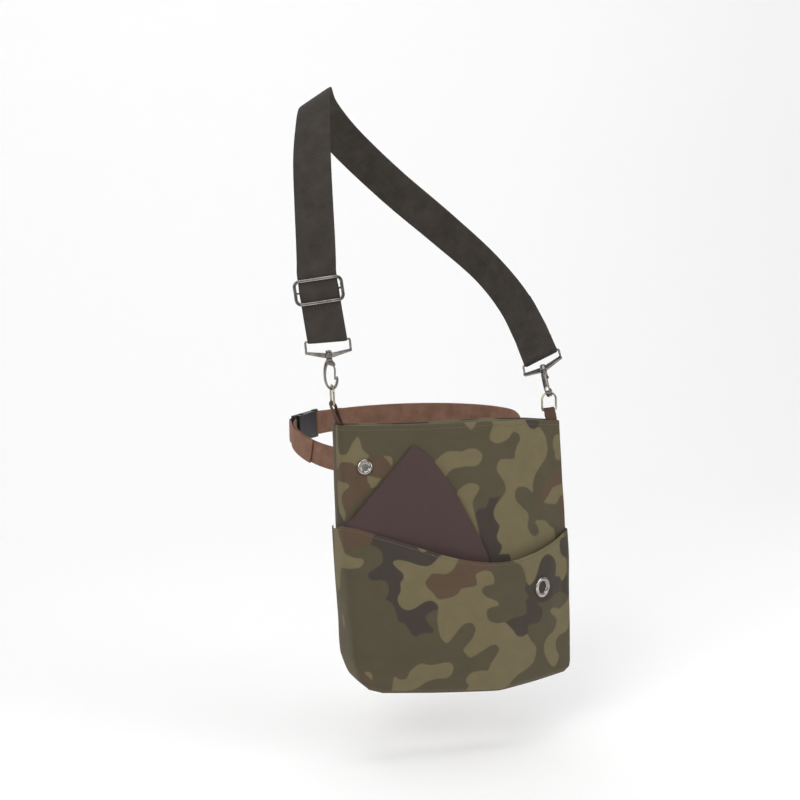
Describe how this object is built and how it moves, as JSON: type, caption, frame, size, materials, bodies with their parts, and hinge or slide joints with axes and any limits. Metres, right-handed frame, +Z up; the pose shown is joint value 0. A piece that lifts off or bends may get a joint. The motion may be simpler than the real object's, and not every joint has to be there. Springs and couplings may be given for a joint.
{
  "type": "dog walking bag",
  "caption": "Worn crossbody cloth bag with a wave-topped front pocket, adjustable shoulder strap on swivel snap hooks, and a waist belt.",
  "frame": {"origin": "where the strap lies on the wearer's shoulder, on the underside of the webbing", "axes": "+Z up, the front of the bag faces -Y, +X to the right as seen from in front"},
  "size_m": [0.2972, 0.2742, 0.6139],
  "materials": {
    "camouflage_cloth": "matt printed canvas",
    "pouch_cloth": "matt plain cloth",
    "strap_webbing": "dull woven webbing",
    "brown_webbing": "woven webbing",
    "nickel": "polished nickel plate",
    "black_plastic": "moulded, fine grain"
  },
  "bodies": {
    "root": {"bag_body": "camouflage_cloth", "press_stud": "nickel", "front_pocket": "camouflage_cloth", "eyelet": "nickel", "pouch_flap": "pouch_cloth", "belt_loop_left": "brown_webbing", "belt_loop_right": "brown_webbing", "swivel_frame_left": "nickel", "d_ring_left": "nickel", "tab_left": "brown_webbing", "swivel_frame_right": "nickel", "d_ring_right": "nickel", "tab_right": "brown_webbing", "strap_slider": "nickel", "shoulder_strap": "strap_webbing", "belt_buckle_socket": "black_plastic", "belt_buckle_clip": "black_plastic", "waist_belt": "brown_webbing"},
    "hook_left_turning": {"hook_left": "nickel"},
    "gate_left_leaf": {"gate_left": "nickel"},
    "hook_right_turning": {"hook_right": "nickel"},
    "gate_right_leaf": {"gate_right": "nickel"}
  },
  "joints": [
    {"name": "hook_left_swivel", "type": "hinge", "parent": "root", "child": "hook_left_turning", "pos_m": [-0.0139, -0.118, -0.2552], "axis": [-0.0797, -0.0299, 0.9964], "range_deg": [-8, 8]},
    {"name": "gate_left_hinge", "type": "hinge", "parent": "hook_left_turning", "child": "gate_left_leaf", "pos_m": [-0.00985, -0.11767, -0.2645], "axis": [-0.0161, 0.9995, 0.0287], "range_deg": [0, 20], "stiffness_Nm_per_rad": 0.002, "springref_deg": -17.19},
    {"name": "hook_right_swivel", "type": "hinge", "parent": "root", "child": "hook_right_turning", "pos_m": [0.2315, -0.052, -0.2898], "axis": [0.033, 0.6885, 0.7245], "range_deg": [0, 8]},
    {"name": "gate_right_hinge", "type": "hinge", "parent": "hook_right_turning", "child": "gate_right_leaf", "pos_m": [0.23299, -0.05665, -0.2987], "axis": [-0.8358, 0.4164, -0.3577], "range_deg": [0, 20], "stiffness_Nm_per_rad": 0.002, "springref_deg": -17.19}
  ]
}
